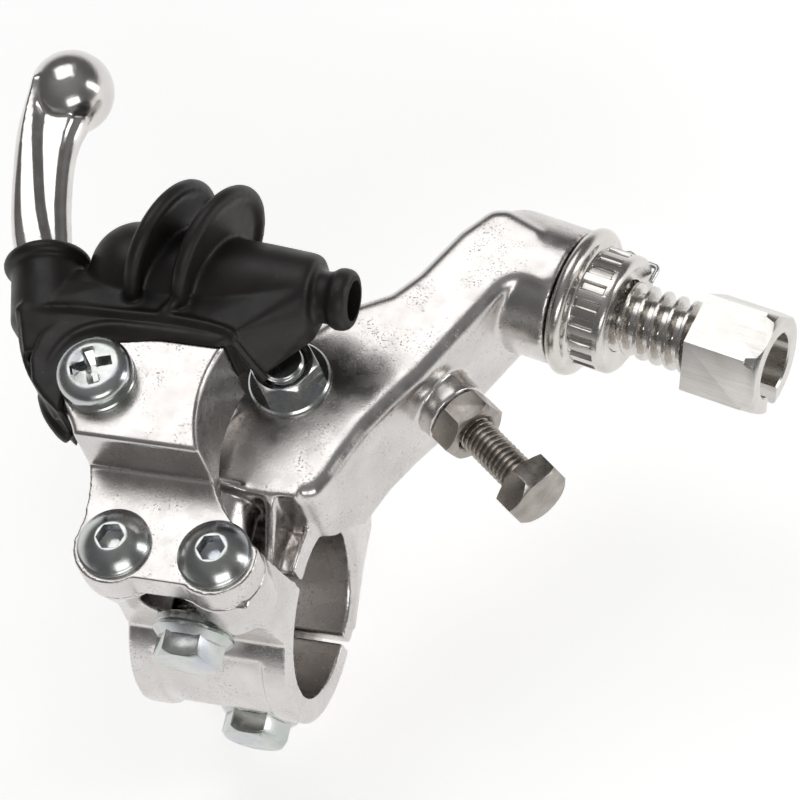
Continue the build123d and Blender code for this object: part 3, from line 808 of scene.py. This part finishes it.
def ellipse(centre, across, up, a, b, count=40):
    """A ring of points, a along across and b along up."""
    across, up = Vector(across).normalized(), Vector(up).normalized()
    return [Vector(centre) + across * (a * cos(2 * pi * i / count)) + up * (b * sin(2 * pi * i / count))
            for i in range(count)]


def bead(name, line, radius, closed=False, sides=14):
    """A round bead of rubber along a line, its rings carried along without a twist."""
    line = [Vector(p) for p in line]
    rings, side = [], None
    for i, centre in enumerate(line):
        here = line[(i + 1) % len(line)] if closed or i + 1 < len(line) else line[i]
        back = line[i - 1] if closed or i else line[0]
        along = (here - back).normalized()
        side = side or axes_for(along)[1]
        side = (side - along * side.dot(along)).normalized()
        up = along.cross(side)
        turns = [2 * pi * k / sides for k in range(sides)]
        rings.append([centre + side * (radius * cos(turn)) + up * (radius * sin(turn)) for turn in turns])
    return loft(name, rings, closed)


MOUTH = Vector((-26.5, 27.7, 33.0))
MOUTH_ACROSS = Vector((0.95, 0.30, 0))
WAIST_ACROSS = Vector((0.93, 0.37, 0))
FIN_NORMAL = Vector((cos(radians(-18)), sin(radians(-18)), 0))


def boot_fin(name, x):
    """A disc of rubber with a thick rolled rim, standing off centre on the tube."""
    centre = Vector((x, 31.0, 36.4)) + FIN_NORMAL * 0.9
    across = FIN_NORMAL.cross(UP)
    rim = bead(name, ellipse(centre, across, UP, 8.35, 8.35, 72), 1.12, closed=True)
    web = lathe(name + "_web", centre - FIN_NORMAL * 0.55, FIN_NORMAL,
                [(0, 0), (0, 8.5), (1.1, 8.5), (1.1, 0)])
    return joined(name, rim, web)


def bracket_edge():
    """The upper part of the hot start bracket in plan, where the boot grips it."""
    radius, middle = 18.7, 11.35
    turns = [radians(t) for t in range(-24, 21, 4)]
    hollow = [(radius - radius * cos(turn), middle + radius * sin(turn)) for turn in turns]
    return [(-14.2, 2.9), (-15.0, 3.9), (-17.0, 6.3), (-18.6, 8.8), (-19.15, 11.0), (-18.8, 13.2),
            (-17.6, 15.6), (-15.1, 18.1), (1.3, 18.1)] + hollow[::-1]


def make_boot():
    """The dust boot: bag and cable port, fins, the lever's sleeve and the collar, fused and hollowed out."""
    bag_r = 6.7
    tube = [(0, 0)]
    for i in range(1, 13):
        turn = radians(7.5 * i)
        tube.append((bag_r - bag_r * cos(turn), bag_r * sin(turn)))
    tube += [(10.5, 6.6), (18.0, 6.15), (24.0, 5.8), (29.4, 5.35), (30.1, 5.15), (30.5, 4.7), (30.6, 3.9),
             (30.7, 3.4), (32.0, 3.3), (32.6, 3.5), (32.9, 3.85), (33.4, 4.0), (34.3, 3.95), (34.9, 3.7),
             (35.2, 3.2), (35.2, 0)]
    parts = [lathe("boot_tube", (-20.6, 28.4, 33.0), (1, 0, 0), tube)]
    parts += [boot_fin("boot_fin_1", -10.6), boot_fin("boot_fin_2", -4.2)]
    # sleeve from the bag to the lever's mouth
    mouth = ellipse(MOUTH, MOUTH_ACROSS, UP, 4.7, 4.9)
    waist = ellipse((-24.0, 20.4, 32.8), WAIST_ACROSS, UP, 5.2, 4.9)
    root = ellipse((-19.4, 15.0, 32.4), (0.8, 0.6, 0), UP, 4.4, 4.4)
    parts += [hull("boot_sleeve", mouth + waist), hull("boot_root", waist + root)]
    parts.append(bead("boot_mouth", ellipse(MOUTH, MOUTH_ACROSS, UP, 4.75, 5.1, 48), 0.95, closed=True))
    # the saddle between sleeve, bag and bracket
    parts.append(hull("boot_saddle", [
        (-27.0, 19.6, 28.2), (-27.0, 19.6, 37.4), (-24.0, 24.5, 36.4), (-20.0, 27.6, 35.0),
        (-20.0, 28.0, 30.0), (-15.0, 27.6, 28.0), (2.0, 28.0, 28.2), (2.2, 26.0, 37.2),
        (1.8, 19.4, 37.6), (-15.0, 24.0, 37.6), (-19.6, 18.6, 37.8), (-24.6, 13.4, 36.9),
        (-24.6, 13.4, 28.3), (2.6, 19.4, 28.0)]))
    # collar that grips the edge of the bracket
    collar = [(-17.2, 5.2), (-20.0, 7.2), (-21.9, 9.0), (-23.2, 12.4), (-22.6, 16.0), (-18.6, 19.9),
              (2.0, 19.9), (1.7, 19.0), (1.0, 18.0), (0.6, 17.4), (-14.2, 17.4), (-17.4, 14.6)]
    parts.append(slab("boot_collar", collar, 28.2, 37.7))
    lip = [(2.4, 18.5, 37.2), (1.6, 19.4, 37.8), (-2.0, 20.0, 38.0), (-7.0, 20.2, 38.0), (-14.0, 20.0, 38.0),
           (-20.6, 19.8, 37.8), (-27.4, 19.2, 36.6)]
    parts.append(bead("boot_lip", smooth_line(lip, 5), 0.5))
    wrap = [(1.4, 18.5, 37.0), (-4.0, 18.6, 37.1), (-10.0, 18.5, 37.2), (-14.0, 18.2, 37.3),
            (-16.9, 17.2, 37.3), (-19.1, 15.3, 37.2), (-20.3, 12.4, 37.0), (-20.2, 9.6, 36.6),
            (-19.2, 7.5, 36.2), (-17.6, 5.6, 35.6)]
    parts.append(bead("boot_wrap", smooth_line(wrap, 5), 0.85))
    border = [(-27.0, 19.4, 36.4), (-26.3, 17.4, 36.1), (-25.3, 14.8, 35.7), (-23.8, 12.0, 35.3),
              (-21.8, 9.6, 34.8)]
    parts.append(bead("boot_border", smooth_line(border, 5), 0.55))
    # the sloping web between the lip, the cone and the lower edge over the pivot nut
    cone_end = ellipse((9.6, 28.4, 33.0), (0, 1, 0), UP, 5.2, 5.2, 24)
    parts.append(hull("boot_skirt", cone_end + [
        (-4.0, 19.8, 37.5), (2.0, 19.4, 37.5), (4.5, 19.0, 28.4), (9.4, 24.4, 28.6), (-4.0, 27.0, 28.4),
        (9.4, 29.0, 28.4), (-4.0, 28.0, 37.0)]))
    tongue = [(1.6, 18.8, 37.5), (2.4, 18.6, 35.0), (3.5, 18.3, 31.4), (4.5, 18.2, 28.3)]
    parts.append(bead("boot_tongue", smooth_line(tongue, 5), 0.55))
    tail = [(-5.4, 24.2, 39.4), (-6.1, 23.0, 38.7), (-6.8, 21.7, 38.1), (-7.4, 20.6, 37.9)]
    parts.append(bead("boot_fin_tail", smooth_line(tail, 4), 0.85))
    flap = [(-21.4, 9.6, 33.6), (-20.4, 7.6, 32.4), (-18.6, 5.9, 31.4), (-17.4, 5.4, 30.6)]
    parts.append(bead("boot_flap", smooth_line(flap, 4), 1.1))
    piece = fuse(joined("boot", *parts), 0.27, 8)
    inside = [(-17.0, 6.8), (-18.8, 8.0), (-20.4, 9.6), (-23.0, 13.6), (-26.4, 19.6), (-28.2, 23.6),
              (-28.4, 25.2), (-26.0, 27.2), (-23.6, 26.6), (-21.0, 24.2), (-14.0, 24.2), (1.0, 24.2),
              (0.6, 17.0), (-15.0, 16.0)]
    cut(piece, slab("boot_inside", inside, 29.4, 36.0),
        slab("boot_seat", bracket_edge(), 20.0, 37.05),
        lathe("boot_bag", (-18.8, 28.4, 33.0), (1, 0, 0), [
            (0, 0), (0.6, 2.4), (2.4, 4.4), (5.0, 5.1), (16, 5.0), (27.0, 3.7), (27.0, 0)]),
        lathe("boot_port", (7.6, 28.4, 33.0), (1, 0, 0), [(0, 0), (0, 2.6), (12, 2.6), (12, 0)], 64),
        hull("boot_opening", ellipse(MOUTH + Vector((0.4, -3.2, 0)), MOUTH_ACROSS, UP, 3.7, 3.4)
             + ellipse(MOUTH + Vector((-0.9, 3.2, 0)), MOUTH_ACROSS, UP, 4.05, 4.3)))
    return shade(piece, 60)


boot = make_boot()
finish_piece(boot, "black_rubber")
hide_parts("dust_boot")
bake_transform(boot)


def make_boot_fold():
    """The fold of the boot round the lever's plate: hidden at rest, it shows when the lever swings out."""
    waist = ellipse((-24.0, 20.6, 32.6), WAIST_ACROSS, UP, 4.3, 4.0)
    inner = ellipse(MOUTH + Vector((0.5, -3.4, 0)), MOUTH_ACROSS, UP, 4.1, 4.2)
    root = [(x, y, z) for x, y in ((-19.8, 11.6), (-20.6, 12.4), (-17.6, 18.4)) for z in (29.2, 35.4)]
    fold = fuse(joined("boot_fold", hull("boot_fold_root", root + waist),
                       hull("boot_fold_tube", waist + inner)), 0.3)
    plate = [(-18.2, 11.0), (-25.2, 19.3), (-28.4, 26.8), (-24.4, 27.4), (-20.6, 22.8), (-12.0, 18.0)]
    cut(fold, slab("boot_fold_plate", plate, 29.9, 34.3),
        hull("boot_fold_hole", ellipse(MOUTH + Vector((0.9, -4.6, 0)), MOUTH_ACROSS, UP, 3.5, 3.0)
             + ellipse(MOUTH + Vector((-0.9, 3.2, 0)), MOUTH_ACROSS, UP, 3.9, 4.0)))
    return shade(fold, 60)


mount(make_boot_fold(), "hot_lever", "black_rubber")


# ---------- small pieces ----------

CAP_SEAT = 8.4


def make_detent_spring():
    """The wire clip that clicks into the barrel's slot, bent from one length of wire."""
    path = [detent_point(distance, radius) for distance, radius in (
        (DETENT_AT, 7.0), (DETENT_AT, 8.5), (2.05, 8.8), (2.4, 8.9), (2.8, 8.75), (3.2, 8.4), (3.7, 8.28),
        (4.6, 8.28), (6.1, 8.28), (6.5, 8.15), (6.72, 7.8), (6.75, 7.0), (6.75, 5.95))]
    return shade(bead("detent_spring", smooth_line(path, 4), 0.36), 50)


def make_pivot_washer():
    """The washer under the hot start lever's pivot screw."""
    return washer("hot_pivot_washer", (HOT_PIVOT.x, HOT_PIVOT.y, 37.0), UP, 4.93, 2.5, 0.8)


def make_pivot_lock_nut():
    """The M5 nut of the pivot screw, hidden under the bracket."""
    nut = hexagon("hot_pivot_nut", (HOT_PIVOT.x, HOT_PIVOT.y, 24.4), DOWN, M5_FLATS, 4.75, (0, 1, 0),
                  (0.0, 0.6), bore=2.5)
    return edged(nut, 0.12)


def make_bush():
    """The bush in the eye of the hot start lever."""
    return washer("lever_bush", (HOT_PIVOT.x, HOT_PIVOT.y, 30.1), UP, 3.18, 2.52, 4.0)


def clamp_washer(name, side):
    """A washer between a clamp bolt's flange and the cap."""
    return washer(name, TILT @ Vector((0, -CAP_SEAT, side * BOLT_OFFSET)), REARWARD, 5.08, 2.97, 1.3)


mount(clamp_washer("clamp_washer_upper", 1), "perch", "zinc_steel", "clamp_washers")
mount(clamp_washer("clamp_washer_lower", -1), "perch", "zinc_steel")
mount(make_detent_spring(), "wheel", "spring_steel", "detent_spring")
mount(make_pivot_washer(), "perch", "zinc_steel", "hot_pivot_washer")
mount(make_pivot_lock_nut(), "perch", "zinc_steel", "hot_pivot_nut")
mount(make_bush(), "hot_lever", "brass_bush", "lever_bush")

for part in frame["record"]["subparts"]:
    cad_object = NODES[part["node"]]
    cad_object.data.materials.clear()
    cad_object.data.materials.append(MATERIALS[part["material_slot"]])


# ---------- stage ----------

def make_floor():
    """A plain pale ground 2 mm under the perch."""
    low = cad_box[0].z - 0.002
    bm = bmesh.new()
    bmesh.ops.create_grid(bm, x_segments=1, y_segments=1, size=3.0)
    floor = from_bmesh("floor", bm)
    floor.location.z = low
    paint = Paint("floor", Roughness=0.75, Specular_IOR_Level=0.1, Emission_Color=(1.0, 0.995, 0.99, 1),
                  Emission_Strength=0.56)
    floor.data.materials.append(paint.done(paint.ramp(paint.noise(2.0, 2.0), (0.3, 0.92), (0.7, 0.94))))


def make_camera():
    """Looks down on the perch from the rear right, 600 mm away, rolled so that +Y is nearly upright."""
    right = Vector((0.9494, 0.2446, -0.1970))
    up = Vector((-0.1260, 0.8712, 0.4745))
    back = Vector((0.2877, -0.4257, 0.8579))
    distance = 600 * MM
    middle = right * (20.067 * MM) + up * (26.155 * MM)
    data = bpy.data.cameras.new("camera")
    data.lens = 208.105
    data.sensor_width = 36.0
    data.clip_start, data.clip_end = 0.05, 20.0
    camera = new_object("camera", data)
    turn = Matrix((right, up, back)).transposed().to_4x4()
    camera.matrix_world = Matrix.Translation(middle + back * distance) @ turn
    bpy.context.scene.camera = camera


def softbox(name, place, aim, size, power):
    """A rectangular light that faces a point."""
    data = bpy.data.lights.new(name, "AREA")
    data.shape = "RECTANGLE"
    data.size, data.size_y = size
    data.energy = power
    light = new_object(name, data)
    light.location = place
    light.rotation_mode = "QUATERNION"
    light.rotation_quaternion = (Vector(aim) - Vector(place)).to_track_quat("-Z", "Y")


def make_light():
    world = bpy.data.worlds.new("studio")
    bpy.context.scene.world = world
    world.use_nodes = True
    tree = world.node_tree
    place = tree.nodes.new("ShaderNodeTexCoord")
    split = tree.nodes.new("ShaderNodeSeparateXYZ")
    ramp = tree.nodes.new("ShaderNodeValToRGB")
    half = tree.nodes.new("ShaderNodeMapRange")
    half.inputs["From Min"].default_value = -1.0
    tree.links.new(place.outputs["Generated"], split.inputs["Vector"])
    tree.links.new(split.outputs["Z"], half.inputs["Value"])
    tree.links.new(half.outputs["Result"], ramp.inputs["Fac"])
    stops = ((0.0, 0.95), (0.5, 0.95), (0.54, 0.50), (0.60, 0.15), (0.80, 0.18), (1.0, 0.34))
    elements = ramp.color_ramp.elements
    while len(elements) < len(stops):
        elements.new(0.5)
    for element, (position, grey) in zip(elements, stops):
        element.position = position
        element.color = (grey, grey, grey, 1)
    background = tree.nodes["Background"]
    tree.links.new(ramp.outputs["Color"], background.inputs["Color"])
    background.inputs["Strength"].default_value = 0.8
    aim = (0.01, 0.015, 0.01)
    softbox("key", (-0.20, 0.40, 0.76), aim, (0.62, 0.56), 1.7)
    softbox("front", (0.35, -0.60, 0.50), aim, (0.50, 0.26), 1.2)
    softbox("side", (0.8, 0.25, 0.30), aim, (0.22, 0.55), 1.2)
    bpy.context.scene.view_settings.view_transform = "Standard"


make_floor()
make_camera()
make_light()
